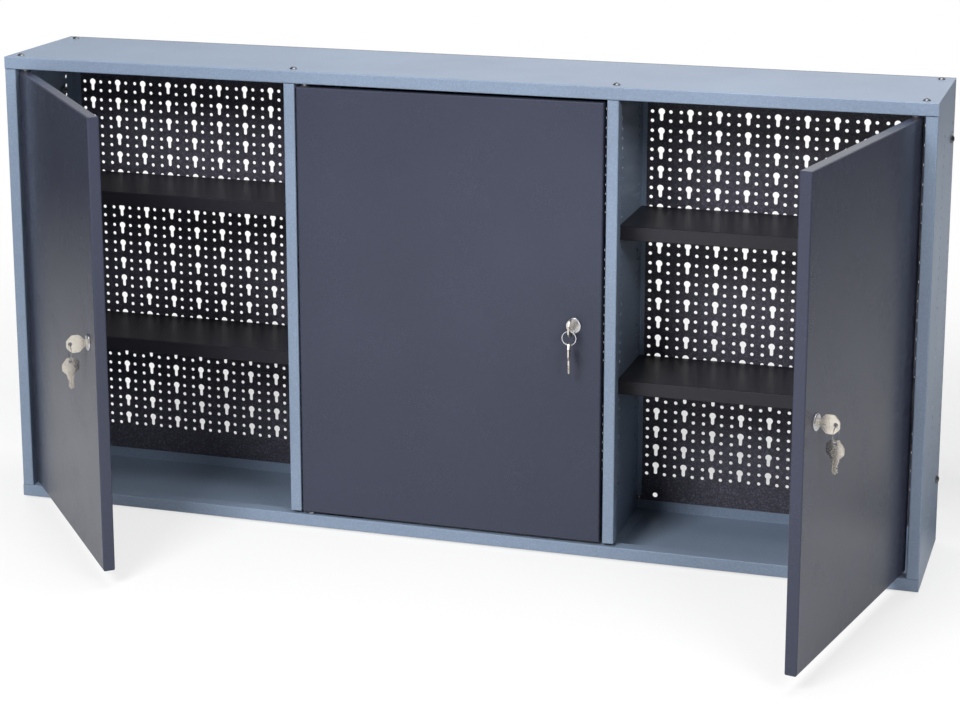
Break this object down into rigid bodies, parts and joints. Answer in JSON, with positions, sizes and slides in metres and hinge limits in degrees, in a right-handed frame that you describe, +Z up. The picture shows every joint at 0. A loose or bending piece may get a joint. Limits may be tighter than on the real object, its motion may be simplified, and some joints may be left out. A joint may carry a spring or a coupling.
{
  "type": "wall-mounted tool cabinet",
  "caption": "Wide shallow wall cabinet of folded sheet steel with perforated keyhole wall, adjustable shelves and lockable hinged doors.",
  "frame": {"origin": "middle of the rectangle of wall screw holes, on the face that lies against the wall", "axes": "+X to the right seen from the front, +Y towards the wall, +Z up"},
  "size_m": [1.209, 0.5248, 0.6052],
  "materials": {
    "frame_paint": "satin grey-blue structured powder paint",
    "door_paint": "anthracite semi-gloss powder paint",
    "wall_paint": "anthracite structured powder paint",
    "shelf_paint": "anthracite powder paint",
    "lock_chrome": "polished nickel-chrome plating",
    "zinc_steel": "bright zinc plating",
    "key_nickel": "nickel-plated stamped brass, worn",
    "bush_plastic": "black moulded nylon",
    "buffer_rubber": "black rubber"
  },
  "bodies": {
    "cabinet": {"top_panel": "frame_paint", "bottom_panel": "frame_paint", "left_side": "frame_paint", "right_side": "frame_paint", "left_divider_panel": "frame_paint", "right_divider_panel": "frame_paint", "left_back_panel": "wall_paint", "middle_back_panel": "wall_paint", "right_back_panel": "wall_paint", "top_screws": "lock_chrome", "bottom_screws": "lock_chrome", "side_bolts": "lock_chrome", "side_nuts": "zinc_steel", "left_upper_shelf": "shelf_paint", "left_lower_shelf": "shelf_paint", "middle_upper_shelf": "shelf_paint", "middle_lower_shelf": "shelf_paint", "right_upper_shelf": "shelf_paint", "right_lower_shelf": "shelf_paint", "shelf_clips": "zinc_steel", "door_buffers": "buffer_rubber", "left_hinge_pins": "zinc_steel", "middle_hinge_pins": "zinc_steel", "right_hinge_pins": "zinc_steel"},
    "left_door": {"left_door_pan": "door_paint", "left_door_stiffener": "door_paint", "left_hinge_bushes": "bush_plastic", "left_lock_housing": "lock_chrome", "left_lock_nut": "zinc_steel"},
    "left_lock": {"left_lock_core": "lock_chrome", "left_lock_cam": "zinc_steel", "left_cam_screw": "zinc_steel"},
    "left_key": {"left_key": "key_nickel"},
    "left_ring": {"left_key_ring": "lock_chrome"},
    "left_spare": {"left_spare_key": "key_nickel"},
    "middle_door": {"middle_door_pan": "door_paint", "middle_door_stiffener": "door_paint", "middle_hinge_bushes": "bush_plastic", "middle_lock_housing": "lock_chrome", "middle_lock_nut": "zinc_steel"},
    "middle_lock": {"middle_lock_core": "lock_chrome", "middle_lock_cam": "zinc_steel", "middle_cam_screw": "zinc_steel"},
    "middle_key": {"middle_key": "key_nickel"},
    "middle_ring": {"middle_key_ring": "lock_chrome"},
    "middle_spare": {"middle_spare_key": "key_nickel"},
    "right_door": {"right_door_pan": "door_paint", "right_door_stiffener": "door_paint", "right_hinge_bushes": "bush_plastic", "right_lock_housing": "lock_chrome", "right_lock_nut": "zinc_steel"},
    "right_lock": {"right_lock_core": "lock_chrome", "right_lock_cam": "zinc_steel", "right_cam_screw": "zinc_steel"},
    "right_key": {"right_key": "key_nickel"},
    "right_ring": {"right_key_ring": "lock_chrome"},
    "right_spare": {"right_spare_key": "key_nickel"}
  },
  "joints": [
    {"name": "left_door_hinge", "type": "hinge", "parent": "cabinet", "child": "left_door", "pos_m": [-0.573, -0.18275, 0], "axis": [0, 0, -1], "range_deg": [-50, 60]},
    {"name": "left_lock_turn", "type": "hinge", "parent": "left_door", "child": "left_lock", "pos_m": [-0.37158, -0.43408, 0], "axis": [-0.766, -0.6428, 0], "range_deg": [0, 90]},
    {"name": "left_key_slide", "type": "slide", "parent": "left_lock", "child": "left_key", "axis": [-0.766, -0.6428, 0], "range_m": [0, 0.025]},
    {"name": "left_ring_swing", "type": "hinge", "parent": "left_key", "child": "left_ring", "pos_m": [-0.38881, -0.44854, 0], "axis": [-0.6428, 0.766, 0], "range_deg": [-5, 60]},
    {"name": "left_spare_swing", "type": "hinge", "parent": "left_ring", "child": "left_spare", "pos_m": [-0.38881, -0.44854, -0.0207], "axis": [-0.766, 0.6428, 0], "range_deg": [-15, 15]},
    {"name": "middle_door_hinge", "type": "hinge", "parent": "cabinet", "child": "middle_door", "pos_m": [-0.1855, -0.18275, 0], "axis": [0, 0, -1], "range_deg": [0, 110]},
    {"name": "middle_lock_turn", "type": "hinge", "parent": "middle_door", "child": "middle_lock", "pos_m": [0.167, -0.19, 0], "axis": [0, -1, 0], "range_deg": [0, 90]},
    {"name": "middle_key_slide", "type": "slide", "parent": "middle_lock", "child": "middle_key", "axis": [0, -1, 0], "range_m": [0, 0.025]},
    {"name": "middle_ring_swing", "type": "hinge", "parent": "middle_key", "child": "middle_ring", "pos_m": [0.167, -0.2125, 0], "axis": [-1, 0, 0], "range_deg": [-5, 60]},
    {"name": "middle_spare_swing", "type": "hinge", "parent": "middle_ring", "child": "middle_spare", "pos_m": [0.167, -0.2125, -0.0207], "axis": [-0.9848, -0.1736, 0], "range_deg": [-15, 15]},
    {"name": "right_door_hinge", "type": "hinge", "parent": "cabinet", "child": "right_door", "pos_m": [0.573, -0.18275, 0], "axis": [0, 0, 1], "range_deg": [-78, 32]},
    {"name": "right_lock_turn", "type": "hinge", "parent": "right_door", "child": "right_lock", "pos_m": [0.51491, -0.49091, 0], "axis": [-0.9781, 0.2079, 0], "range_deg": [0, 90]},
    {"name": "right_key_slide", "type": "slide", "parent": "right_lock", "child": "right_key", "axis": [0.9781, -0.2079, 0], "range_m": [0, 0.025]},
    {"name": "right_ring_swing", "type": "hinge", "parent": "right_key", "child": "right_ring", "pos_m": [0.53692, -0.49558, 0], "axis": [-0.2079, -0.9781, 0], "range_deg": [-5, 60]},
    {"name": "right_spare_swing", "type": "hinge", "parent": "right_ring", "child": "right_spare", "pos_m": [0.53692, -0.49558, -0.0207], "axis": [-0.3746, -0.9272, 0], "range_deg": [-15, 15]}
  ]
}
